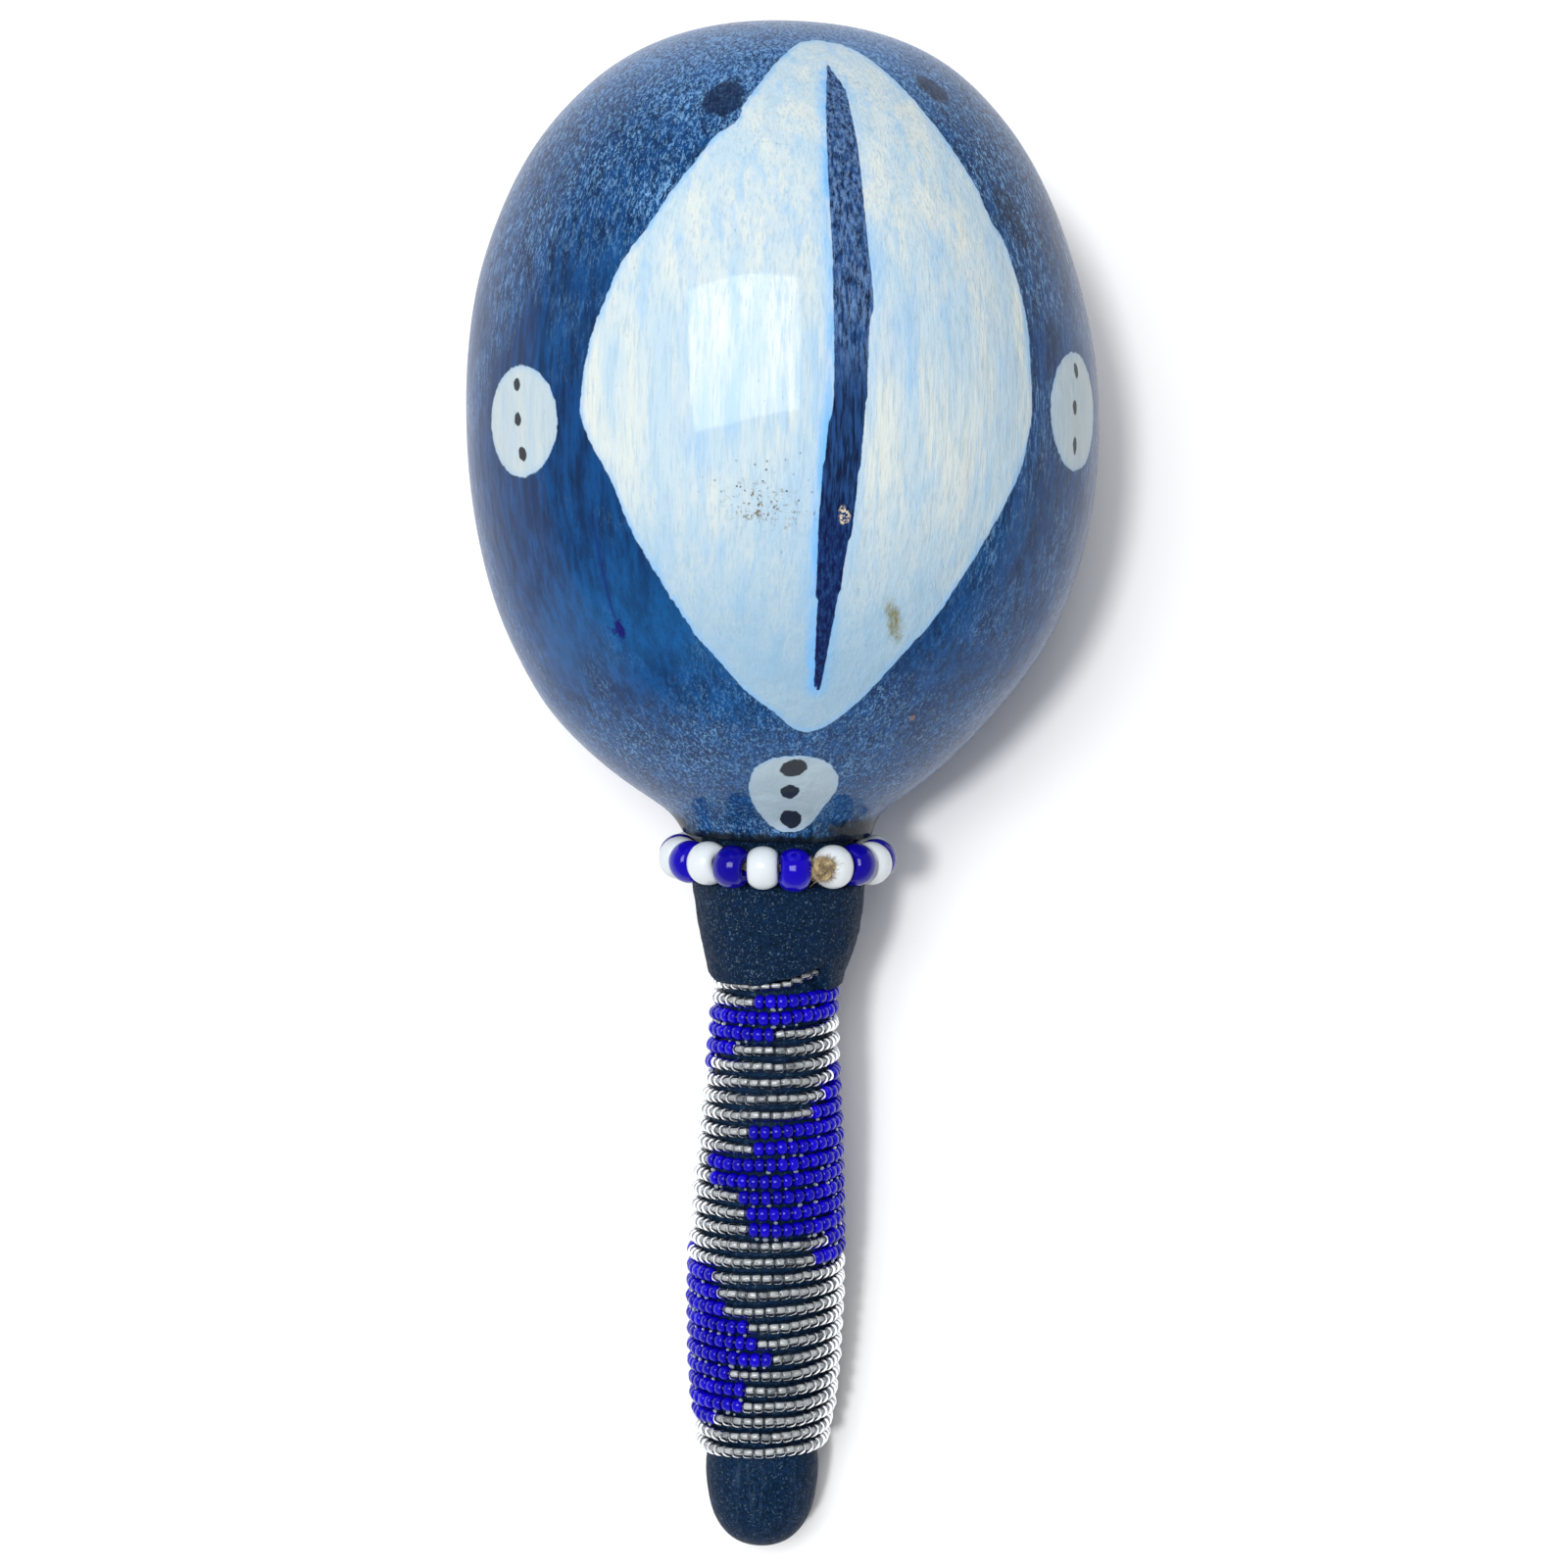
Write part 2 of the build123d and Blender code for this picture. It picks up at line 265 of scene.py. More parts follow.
class Finish:
    """A node material under construction."""

    def __init__(self, name, **plain):
        self.material = bpy.data.materials.new(name)
        self.material.use_nodes = True
        self.tree = self.material.node_tree
        self.shader = self.tree.nodes["Principled BSDF"]
        for socket, value in plain.items():
            self.shader.inputs[socket.replace("_", " ")].default_value = value
        self.at = self.place()

    def feed(self, socket, value):
        """Links the socket to another one, or gives it a number, a colour or a colour code."""
        if isinstance(value, bpy.types.NodeSocket):
            self.tree.links.new(value, socket)
        else:
            socket.default_value = srgb(value) if isinstance(value, str) else value

    def add(self, kind, **settings):
        node = self.tree.nodes.new("ShaderNode" + kind)
        for name, value in settings.items():
            setattr(node, name, value)
        return node

    def place(self):
        """Across, inward and height in millimetres, in the frame of the long axis."""
        turn = Matrix((across, -outward, along))
        mapping = self.add("Mapping", vector_type="POINT")
        mapping.inputs["Location"].default_value = turn @ tip * -1000
        mapping.inputs["Rotation"].default_value = turn.to_euler()
        mapping.inputs["Scale"].default_value = (1000, 1000, 1000)
        self.tree.links.new(self.add("TexCoord").outputs["Object"], mapping.inputs["Vector"])
        return mapping.outputs["Vector"]

    def split(self):
        node = self.add("SeparateXYZ")
        self.feed(node.inputs[0], self.at)
        return node.outputs[0], node.outputs[1], node.outputs[2]

    def number(self, name):
        return self.add("Attribute", attribute_name=name).outputs["Fac"]

    def math(self, operation, first, second=0, clamp=False):
        node = self.add("Math", operation=operation, use_clamp=clamp)
        self.feed(node.inputs[0], first)
        self.feed(node.inputs[1], second)
        return node.outputs[0]

    def stretch(self, amounts):
        node = self.add("VectorMath", operation="MULTIPLY")
        self.feed(node.inputs[0], self.at)
        node.inputs[1].default_value = amounts
        return node.outputs[0]

    def noise(self, scale, detail=3, grain=0.55, tall=1, twist=0, shift=0):
        """Noise whose features are 1 / scale mm wide, and drawn out along the axis if tall > 1."""
        node = self.add("TexNoise", noise_dimensions="4D" if shift else "3D")
        given = {"Vector": self.stretch((1, 1, 1 / tall)), "Scale": scale, "Detail": detail,
                 "Roughness": grain, "Distortion": twist}
        if shift:
            given["W"] = shift
        for socket, value in given.items():
            self.feed(node.inputs[socket], value)
        return node.outputs["Fac"]

    def step(self, value, low, high, to_low=0, to_high=1):
        node = self.add("MapRange", interpolation_type="SMOOTHSTEP")
        for socket, given in zip(node.inputs, (value, low, high, to_low, to_high)):
            self.feed(socket, given)
        return node.outputs[0]

    def mix(self, share, first, second):
        node = self.add("Mix", data_type="RGBA", blend_type="MIX")
        self.feed(node.inputs[0], share)
        self.feed(node.inputs[6], first)
        self.feed(node.inputs[7], second)
        return node.outputs[2]

    def fold(self, operation, values):
        return reduce(lambda first, second: self.math(operation, first, second), values)

    def times(self, *values):
        return self.fold("MULTIPLY", values)

    def plus(self, *values):
        return self.fold("ADD", values)

    def most(self, *values):
        return self.fold("MAXIMUM", values)

    def done(self, colour, relief=None, roughness=None):
        """Connects the colour, the relief in mm and the roughness, and returns the material."""
        self.feed(self.shader.inputs["Base Color"], colour)
        if roughness is not None:
            self.feed(self.shader.inputs["Roughness"], roughness)
        if relief is not None:
            bump = self.add("Bump")
            bump.inputs["Strength"].default_value = 1
            bump.inputs["Distance"].default_value = 0.001
            self.feed(bump.inputs["Height"], relief)
            self.feed(self.shader.inputs["Normal"], bump.outputs["Normal"])
        return self.material


# ---- the painting on the gourd
# Outlines as (angle, height), and spots as (angle, height, half width, half height, lean).
COWRIE = [
    (9.8, 292.2), (3.1, 291.5), (-3.2, 287.1), (-7.5, 281.8), (-10.2, 277.8), (-11, 274.7),
    (-15.2, 271.8), (-18.8, 266.8), (-22.8, 261.1), (-26.4, 254.7), (-30.2, 249.2),
    (-32.8, 242.8), (-35, 236.5), (-36.5, 230.3), (-37.3, 222.2), (-36.3, 218.3),
    (-33.5, 213.1), (-31.4, 209.6), (-29.5, 204.9), (-27.3, 199.4), (-24.2, 194),
    (-20.1, 186.9), (-16.1, 180.8), (-11.9, 176.4), (-6.8, 171.2), (0.3, 166.9), (4.5, 164.3),
    (9.1, 163.8), (14.4, 165.7), (21.1, 171.2), (26.8, 178.5), (31.8, 184.7), (35.8, 191.9),
    (40.2, 199.9), (44.1, 207.3), (46.8, 212.9), (47.9, 217.8), (49, 223.5), (48.8, 232.5),
    (48.8, 239.7), (47.9, 246.9), (46.2, 254.9), (43.7, 258.8), (42.3, 264.4), (39.1, 270.8),
    (34.3, 278.4), (30.3, 283.9), (24.3, 289.1), (17.8, 291.6),
]
SLIT = [
    (10.6, 286.4), (8.8, 277.2), (8.3, 264.4), (8.5, 254.8), (8.7, 245.2), (8.9, 225.2),
    (8, 218.6), (7.3, 209.2), (6.9, 201.6), (7.1, 193.7), (7.4, 186), (7.9, 178),
    (8.3, 172.4), (9.7, 172.4), (10.2, 178.7), (11.1, 186.1), (12, 194.7), (13.1, 202.4),
    (13.7, 211), (14.3, 218.8), (14.7, 225.4), (14.8, 230.5), (15.2, 237.6), (16, 241.6),
    (15.4, 251.8), (15.1, 260.7), (15, 270.7), (14.6, 276.6), (14.1, 282), (12.1, 285),
]
NECK_OVAL = [
    (-9.3, 152.7), (-6.5, 156.3), (-1, 158.4), (4.5, 159), (11, 158.8), (17, 157.4),
    (22, 154.4), (23.4, 151.5), (22.7, 148.9), (20.8, 145.5), (15, 143.6), (8, 143.2),
    (2.2, 143.7), (-3.5, 145), (-7.9, 147.5), (-9.6, 150.2),
]
OVALS = [(-52.4, 220, 10.2, 10.3, 2), (64.5, 224.4, 10.4, 11.2, -2)]
DOTS = [
    (-53.4, 226.9, 0.95, 1.25, 10), (-53, 220.4, 1, 1.2, 0), (-51.9, 214, 1.2, 1.35, 20),
    (64.7, 232.1, 0.95, 1.5, 10), (63.6, 225.2, 0.95, 1.4, 0), (63.9, 218.1, 0.8, 1.7, 5),
    (5.8, 156.6, 2.3, 1.7, 20), (5.6, 151.8, 1.8, 1.45, 0), (8.4, 146, 3, 1.8, -10),
]


def smooth_loop(points, steps):
    """A closed Catmull-Rom curve through the points."""
    points = np.array(points, float)
    before, after = np.roll(points, 1, 0), np.roll(points, -1, 0)
    beyond = np.roll(points, -2, 0)
    t = (np.arange(steps) / steps)[:, None, None]
    curve = 0.5 * (
        2 * points
        + (after - before) * t
        + (2 * before - 5 * points + 4 * after - beyond) * t**2
        + (3 * points - before - 3 * after + beyond) * t**3
    )
    return curve.transpose(1, 0, 2).reshape(-1, 2)


def on_gourd(angle, height):
    """The place on the gourd at an angle and a height."""
    rows = profile(GOURD, 1)
    width = np.interp(height, rows[:, 0], rows[:, 1])
    aside = np.interp(height, rows[:, 0], rows[:, 2])
    turn = np.radians(angle)
    radius = 1 / np.sqrt((np.sin(turn) / width) ** 2 + (np.cos(turn) / depth(width)) ** 2)
    return ring(radius + aside * np.sin(turn), angle, height)


def inside_by(places, outline):
    """How far, in mm, each place on the gourd is inside an outline; negative outside it."""
    angle = np.degrees(np.arctan2(places[:, 0], places[:, 1]))
    height = places[:, 2]
    loop = smooth_loop(outline, 5)
    result = np.full(len(places), -30.0)
    near = np.flatnonzero((np.abs(angle) < 85) & (height > NECK_END))
    corners = on_gourd(loop[:, 0], loop[:, 1])
    edges = np.roll(corners, -1, 0) - corners
    lengths = (edges**2).sum(1)
    for some in np.array_split(near, 12):
        to_place = places[some][:, None] - corners
        share = np.clip((to_place * edges).sum(2) / lengths, 0, 1)
        gap = np.linalg.norm(to_place - share[..., None] * edges, axis=2).min(1)
        a, h = angle[some][:, None], height[some][:, None]
        nexts = np.roll(loop, -1, 0)
        crosses = (loop[:, 1] > h) != (nexts[:, 1] > h)
        rise = np.where(crosses, nexts[:, 1] - loop[:, 1], 1)
        at = loop[:, 0] + (h - loop[:, 1]) * (nexts[:, 0] - loop[:, 0]) / rise
        odd = (crosses & (a < at)).sum(1) % 2 == 1
        result[some] = np.where(odd, gap, -gap)
    return result


# ---- the gourd's paint
AROUND_BELLY, AROUND_SHOULDER, AROUND_NECK = 59, 44, 30


class GourdFinish(Finish):
    """The gourd's material, with the fields that its layers of paint share."""

    def __init__(self):
        super().__init__(
            "painted_gourd", Coat_Weight=0.38, Coat_Roughness=0.045, Specular_IOR_Level=0.05
        )
        beside, inward, self.height = self.split()
        self.angle = self.times(self.math("ARCTAN2", beside, self.times(inward, -1)), 180 / pi)
        self.wobble = self.math("SUBTRACT", self.noise(0.7, 3), 0.5)
        self.strokes = self.noise(0.55, 5, 0.65, tall=7)
        self.fine = self.noise(2.6, 4, 0.7, tall=5)
        self.fleck = self.noise(1.5, 5, 0.8, tall=6.5, twist=0.25)
        self.sweep = self.noise(0.42, 4, 0.6, tall=9, shift=6)
        self.hairs = self.noise(2.2, 3, 0.6, tall=14, shift=1)
        crumb = self.noise(2.4, 3, 0.7, tall=4, shift=5)
        self.crumbs = self.step(crumb, 0.55, 0.66)
        hollow = self.spot(41.5, 283.7, 3.4, 2.6, -25, 2.5, AROUND_SHOULDER)
        self.hollow = self.step(hollow, -0.6, 0.8)

    def spot(self, angle, height, half_width, half_height, lean=0, ragged=0, around=AROUND_BELLY):
        """How far inside an oval spot a point is, in mm, where the gourd's radius is about around."""
        beside = self.times(self.math("SUBTRACT", self.angle, angle), around * pi / 180)
        above = self.math("SUBTRACT", self.height, height)
        c, s = cos(radians(lean)), sin(radians(lean))
        u = self.plus(self.times(beside, c / half_width), self.times(above, s / half_width))
        v = self.plus(self.times(beside, -s / half_height), self.times(above, c / half_height))
        reach = self.math("SQRT", self.plus(self.times(u, u), self.times(v, v)))
        gap = self.times(self.math("SUBTRACT", 1, reach), min(half_width, half_height))
        return self.plus(gap, self.times(self.wobble, ragged)) if ragged else gap


def blue_ground(f):
    """Long soft strokes, cloudy patches and short light flecks, with the sides lightened by a painted
    reflection.
    """
    cloud = f.noise(0.055, 3, 0.6)
    light_cloud = f.noise(0.03, 2, 0.5, shift=3.7)
    dark_cloud = f.noise(0.1, 3, 0.6, tall=3, shift=9.1)
    ground = f.mix(f.step(f.strokes, 0.36, 0.64), "04244a", "0a3f76")
    low_blue = f.mix(f.step(f.strokes, 0.3, 0.7), "032d58", "0a4c88")
    ground = f.mix(f.step(f.height, 232, 178, 0, 0.75), ground, low_blue)
    ground = f.mix(f.step(light_cloud, 0.52, 0.72, 0, 0.3), ground, "1c66a4")
    ground = f.mix(f.step(dark_cloud, 0.52, 0.7, 0, 0.6), ground, "04204a")
    upper = f.step(f.height, 232, 274, 0, 0.5)
    lower = f.step(f.height, 180, 152, 0, 0.35)
    patches = f.step(cloud, 0.4, 0.62, 0, 0.45)
    brushed = f.step(f.spot(-42, 206, 26, 38), -9, 9, 0, 0.5)
    density = f.math("SUBTRACT", f.plus(0.14, upper, lower, patches), brushed, clamp=True)
    ground = f.mix(f.times(f.step(f.fleck, 0.51, 0.6), density, 0.9), ground, "6b9dcb")
    ground = f.mix(f.times(f.crumbs, density, 0.85), ground, "86b4e2")
    ground = f.mix(f.step(f.fine, 0.54, 0.7, 0, 0.55), ground, "071d3c")
    # painted reflection: away from the painted face the blue is mixed towards a lighter blue
    from_front = f.math("ABSOLUTE", f.math("SUBTRACT", f.angle, 4))
    ground = f.mix(f.step(from_front, 48, 88, 0, 0.12), ground, "4a70ae")
    crown = f.times(f.step(f.height, 268, 299), f.step(f.fleck, 0.4, 0.6), 0.7)
    return f.mix(crown, ground, "6c98cc")


def blue_marks(f, ground):
    """A patch, a hollow with painted shade in it, a scuff, a drip, a streak and a spot of rust in the
    blue.
    """
    patch = f.step(f.spot(-15, 279.2, 5.2, 3.6, 4, 2.2), -0.5, 0.7, 0, 0.85)
    ground = f.mix(patch, ground, "071c3c")
    # painted shade: the hollow is mixed towards a darker blue
    ground = f.mix(f.times(f.hollow, 0.8), ground, "081c38")
    scuff = f.step(f.spot(50.5, 259.5, 3, 6.5, 20, 3, around=55), -0.8, 1)
    ground = f.mix(f.times(scuff, f.step(f.fine, 0.42, 0.52), 0.85), ground, "06172f")
    drip = f.step(f.spot(-33, 182.3, 1.1, 1.6, 0, 2), -0.2, 0.25)
    drop = f.step(f.spot(-34.6, 181.9, 1.3, 0.7, 0, 2.6), -0.1, 0.3, 0, 0.7)
    ground = f.mix(f.most(drip, drop), ground, "0b0f60")
    streak = f.step(f.spot(-34.5, 192, 0.5, 11, 5, 0.8), -0.2, 0.3, 0, 0.6)
    ground = f.mix(streak, ground, "0d1f66")
    rust = f.step(f.spot(36, 166.5, 0.8, 0.5, 0, 1.2, AROUND_SHOULDER), -0.1, 0.3, 0, 0.8)
    return f.mix(rust, ground, "8a6a58")


def white_paint(f, any_white, ovals, inside_slit):
    """White brushwork, bluer at its rim, low down and beside the slit."""
    broad = f.noise(0.2, 5, 0.65, tall=7, shift=2)
    bluish = f.noise(0.09, 3, 0.6, tall=2.5, shift=12)
    white = f.mix(f.step(broad, 0.36, 0.64), "b2c9d7", "ced5d1")
    white = f.mix(f.step(f.sweep, 0.5, 0.68, 0, 0.6), white, "93bbdd")
    white = f.mix(f.step(f.hairs, 0.48, 0.66, 0, 0.55), white, "9ab6c9")
    white = f.mix(f.step(bluish, 0.52, 0.7, 0, 0.35), white, "7fb0de")
    white = f.mix(f.step(f.height, 216, 174, 0, 0.75), white, "88adc8")
    rim = f.times(f.step(any_white, 1.5, 0.1), f.step(f.sweep, 0.3, 0.6, 0.35, 1), 0.85)
    white = f.mix(rim, white, "7fb2e2")
    white = f.mix(f.step(ovals, -0.5, 0.5, 0, 0.6), white, "b2bfc4")
    by_slit = f.times(f.step(inside_slit, -2.6, -0.2), f.step(f.sweep, 0.3, 0.62, 0.2, 1))
    left_of_slit = f.step(f.angle, 12, 8.5, 0.35, 1)
    return f.mix(f.times(by_slit, left_of_slit, 0.95), white, "6fb0ea")


def white_marks(f, white):
    """Dirt, specks, a smudge and scratches in the white."""
    dirt = f.step(f.spot(-3, 204.6, 8.5, 4.4, -18, 3), -1.5, 3)
    grains = f.step(f.noise(1.1, 4, 0.75, shift=4), 0.53, 0.63)
    white = f.mix(f.times(dirt, grains, 0.95), white, "6e6142")
    pepper = f.add("TexVoronoi", feature="F1")
    f.feed(pepper.inputs["Vector"], f.at)
    f.feed(pepper.inputs["Scale"], 0.55)
    specks = f.step(pepper.outputs["Distance"], 0.16, 0.08)
    peppered = f.step(f.spot(0, 208, 16, 7.5, 0, 4), -2, 5)
    white = f.mix(f.times(peppered, specks, 0.85), white, "4b4638")
    smudge = f.step(f.spot(23.2, 184.6, 1.7, 4.2, 24, 2.4), -0.6, 1.2)
    smudge = f.times(smudge, f.step(f.fine, 0.35, 0.6, 0.5, 1), 0.92)
    white = f.mix(smudge, white, "77723f")
    high = f.step(f.spot(14, 282.6, 5.2, 0.14, 8, 0.3), -0.1, 0.1)
    low = f.step(f.spot(-2.5, 270.3, 6.2, 0.16, -6, 0.35), -0.1, 0.1)
    scratches = f.times(f.most(high, low), f.step(f.hairs, 0.4, 0.6), 0.5)
    return f.mix(scratches, white, "90a4b0")


def slit_paint(f):
    """Dark strokes, paler towards the top with a painted highlight, and deep blue low down, with a chip.
    """
    strokes = f.noise(1.6, 4, 0.6, tall=10)
    colour = f.mix(f.step(strokes, 0.36, 0.64), "061634", "1f4478")
    deep = f.times(f.step(f.height, 214, 196), f.step(f.fine, 0.66, 0.36), 0.9)
    colour = f.mix(deep, colour, "030f4c")
    # painted highlight: pale blue laid over the flecks in the upper slit
    painted_highlight = f.times(f.step(f.height, 222, 240), f.step(f.fleck, 0.42, 0.62), 0.65)
    colour = f.mix(painted_highlight, colour, "6f92c0")
    chip = f.step(f.spot(11.6, 203.4, 1.2, 1.6, 15, 2.4), -0.1, 0.3)
    chip = f.times(chip, f.step(f.noise(2, 3, 0.6), 0.47, 0.56))
    return f.mix(chip, colour, "c9bca6")


def gourd_finish():
    f = GourdFinish()
    inside = f.plus(f.number("cowrie"), f.times(f.wobble, 0.7))
    inside_slit = f.plus(f.number("slit"), f.times(f.wobble, 0.4))
    neck_oval = f.plus(f.number("neck_oval"), f.times(f.wobble, 0.9))
    ovals = f.most(*[f.spot(*oval, ragged=1) for oval in OVALS], neck_oval)
    any_white = f.most(inside, ovals)
    white = white_marks(f, white_paint(f, any_white, ovals, inside_slit))

    # the white lets the blue through where it is thin
    painted = f.step(any_white, -0.16, 0.16)
    thin = f.step(f.noise(1.9, 3, 0.7, tall=3, shift=8), 0.64, 0.76, 1, 0.55)
    colour = f.mix(f.times(painted, thin), blue_marks(f, blue_ground(f)), white)
    slit_mask = f.step(inside_slit, -0.13, 0.13)
    colour = f.mix(slit_mask, colour, slit_paint(f))
    dots = [f.spot(*dot, 0.9, AROUND_BELLY if dot[1] > 200 else AROUND_NECK) for dot in DOTS]
    dot_mask = f.step(f.most(*dots), -0.1, 0.12)
    dot_colour = f.mix(f.step(f.fine, 0.4, 0.62), "050a14", "0b1828")
    colour = f.mix(f.times(dot_mask, 0.96), colour, dot_colour)

    # the slate filler spreads over the root of the neck, mostly on the right and behind
    edge = f.plus(f.height, f.times(f.wobble, 3))
    from_left = f.math("ABSOLUTE", f.plus(f.angle, 14, f.times(f.wobble, 30)))
    slate = f.times(f.step(edge, 146.8, 144.2), f.step(from_left, 30, 56))
    slate = f.most(slate, f.step(edge, 143.6, 142))
    colour = f.mix(slate, colour, f.mix(f.step(f.fleck, 0.4, 0.7), "0b1420", "22323f"))

    pit = f.step(f.spot(-14.1, 275.9, 1, 0.7, 0, 0.8), -0.3, 0.5)
    daubs = f.noise(0.8, 3, 0.6, tall=2.5, shift=3.3)
    bristles = f.plus(0.035, f.times(f.hairs, 0.12), f.times(f.sweep, 0.2), f.times(daubs, 0.16))
    relief = f.plus(
        f.times(f.fine, 0.045),
        f.times(f.strokes, 0.14),
        f.times(f.noise(0.16, 2, 0.5), 0.5),
        f.times(painted, bristles),
        f.times(f.step(f.math("ABSOLUTE", inside), 1.1, 0), painted, 0.03),
        f.times(slit_mask, -0.02),
        f.times(dot_mask, 0.05),
        f.times(f.crumbs, 0.02),
        f.times(pit, -0.5),
        f.times(f.hollow, -0.25),
        f.times(slate, f.fleck, 0.3),
    )
    roughness = f.step(f.noise(0.5, 3, 0.6, tall=4, shift=7), 0.3, 0.7, 0.45, 0.6)
    return f.done(colour, relief, f.plus(roughness, f.times(slate, 0.25)))


# ---- other materials
def slate_finish(name, sand, flecked, bare_above=300):
    """Matt slate-blue paint over a sandy or grained surface, with bare wood above a height."""
    f = Finish(name, Specular_IOR_Level=0.05)
    grain = f.noise(1.5, 5, 0.7)
    coarse = f.noise(0.6, 4, 0.6, shift=2)
    drawn = f.noise(1.1, 4, 0.6, tall=12, shift=5)
    height = f.split()[2]
    colour = f.mix(f.step(grain, 0.35, 0.66), "06182a", "112b49")
    colour = f.mix(f.step(coarse, 0.5, 0.72, 0, 0.5), colour, "0b2750")
    light = f.step(f.noise(2.4, 2, 0.7, shift=4), 0.57, 0.66)
    colour = f.mix(f.times(light, flecked), colour, "6c859c")
    butt = f.step(height, 22, 17)
    colour = f.mix(f.times(butt, f.step(drawn, 0.5, 0.78), 0.5), colour, "43586f")
    rubbed = f.times(f.step(height, 4, 0.5), f.step(grain, 0.45, 0.6), 0.5)
    colour = f.mix(rubbed, colour, "34393e")
    wood = f.mix(f.step(drawn, 0.38, 0.66), "9c7749", "c8a674")
    colour = f.mix(f.step(height, bare_above - 1, bare_above), colour, wood)
    relief = f.plus(f.times(grain, 0.35 * sand), f.times(coarse, 0.5 * sand), f.times(light, 0.1 * sand))
    relief = f.plus(relief, f.times(butt, drawn, 0.06))
    roughness = f.step(coarse, 0.3, 0.7, 0.42, 0.62)
    return f.done(colour, relief, roughness)


def bead_finish(name, first, second, roughness):
    """Glossy opaque glass that differs a little from bead to bead."""
    f = Finish(name, Specular_IOR_Level=0.2, Coat_Weight=0.25, Coat_Roughness=0.03)
    swirl = f.noise(0.9, 3, 0.6, twist=1)
    colour = f.mix(f.number("tone"), first, second)
    colour = f.mix(f.step(swirl, 0.45, 0.7, 0, 0.22), colour, second)
    relief = f.times(swirl, 0.03)
    return f.done(colour, relief, f.step(swirl, 0.3, 0.7, roughness, roughness + 0.08))


def clear_finish():
    f = Finish("clear_bead_glass", Transmission_Weight=1, IOR=1.18, Roughness=0.04)
    relief = f.times(f.noise(1.6, 2), 0.03)
    return f.done((0.6, 0.63, 0.67, 1), relief)


def glue_finish():
    f = Finish("dried_glue", Transmission_Weight=0.35, IOR=1.46, Roughness=0.22)
    colour = f.mix(f.noise(1.5), "6a7686", "a3aeb9")
    return f.done(colour, f.times(f.noise(3), 0.08))


def silver_finish():
    f = Finish("silver_lining", Metallic=0.22, Specular_IOR_Level=0.15)
    wear = f.noise(1.9, 3, 0.7)
    colour = f.mix(f.number("tone"), "9a9da0", "f0f0ec")
    colour = f.mix(f.step(wear, 0.52, 0.72, 0, 0.4), colour, "5a5f66")
    return f.done(colour, f.times(wear, 0.05), f.step(wear, 0.3, 0.7, 0.3, 0.45))


def fibre_finish(name, first, second, shade):
    """Twisted fibre: two tones drawn along short hairs."""
    f = Finish(name, Roughness=0.85, Specular_IOR_Level=0.25, Sheen_Weight=0.3, Sheen_Roughness=0.5)
    hairs = f.noise(4, 3, 0.7)
    colour = f.mix(f.step(hairs, 0.35, 0.65), first, second)
    colour = f.mix(f.step(f.noise(0.7, 2), 0.45, 0.7, 0, 0.6), colour, shade)
    return f.done(colour, f.times(hairs, 0.06))


def seed_finish():
    f = Finish("seed_coat", Coat_Weight=0.2, Coat_Roughness=0.3)
    mottle = f.noise(0.8, 4, 0.65)
    colour = f.mix(f.step(mottle, 0.4, 0.62), "2c1c12", "5d4028")
    colour = f.mix(f.step(f.noise(2.6, 2), 0.62, 0.7), colour, "87694a")
    return f.done(colour, f.times(mottle, 0.2), f.step(mottle, 0.3, 0.7, 0.35, 0.6))


def inner_finish():
    """The dry, pithy inside of the gourd."""
    f = Finish("gourd_pith", Roughness=0.9, Specular_IOR_Level=0.2)
    pith = f.noise(0.35, 5, 0.7, tall=1.5)
    colour = f.mix(f.step(pith, 0.35, 0.68), "7d6848", "b7a078")
    return f.done(colour, f.times(pith, 0.5))


# ---- gourd
def revolved(rows, columns, to_depth):
    """Places and faces of rows of (height, half width, aside), closed at the point of the last."""
    turn = np.radians(np.arange(columns) * 360 / columns)
    crown, rows = rows[-1], rows[:-1]
    beside = rows[:, 2:] + rows[:, 1:2] * np.sin(turn)
    out = to_depth(rows[:, 1:2]) * np.cos(turn)
    places = np.stack(np.broadcast_arrays(beside, out, rows[:, :1]), -1).reshape(-1, 3)
    places = np.concatenate([places, [[crown[2], 0, crown[0]]]])
    cap = fan((len(rows) - 1) * columns, columns, len(places) - 1)
    return places, grid_faces(len(rows), columns) + cap


def gourd():
    # a rounded lip and a flat end under the neck
    lip = [(141.35, 14.9, 0.7), (141.2, 17.4, 0.7), (141.22, 18.3, 0.65)]
    rows = profile([(141.5, 18.75, 0.6)] + GOURD[1:] + [(300.2, 0, -0.5)], 1.12)
    places, faces = revolved(np.concatenate([lip, rows]), 360, depth)
    # a grown gourd is never quite even
    away = places - (0, 0, BELLY_HEIGHT)
    away /= np.linalg.norm(away, axis=1)[:, None]
    fade = np.clip((places[:, 2] - 150) / 20, 0, 1)
    swell = 0.3 * rough(places, 0.02, 1) + 0.12 * rough(places, 0.06, 5) - 0.12
    places += away * (swell * fade)[:, None]
    skin = piece("gourd_skin", places, faces, gourd_finish(),
                 stands_for=["gourd_shell"], floor=0)
    for name, outline in (("cowrie", COWRIE), ("slit", SLIT), ("neck_oval", NECK_OVAL)):
        mark(skin, name, inside_by(places, outline))

    inner = [(BELLY_HEIGHT + INSIDE * (h - BELLY_HEIGHT), INSIDE * w, a) for h, w, a in GOURD[2:]]
    rows = profile(inner + [(BELLY_HEIGHT + INSIDE * 75.1, 0, -0.5)], 3.2)
    throat = [(141.4, 14.8, 0.7), (141.6, 10.35, 0.7), (151.2, 10.35, 0.7), (151.4, 21, -0.4)]
    rows = np.concatenate([throat, rows])
    places, faces = revolved(rows, 120, lambda half_width: INSIDE_DEPTH * half_width)
    faces = [face[::-1] for face in faces]
    piece("gourd_inside", places, faces, inner_finish(),
          stands_for=["gourd_shell"])


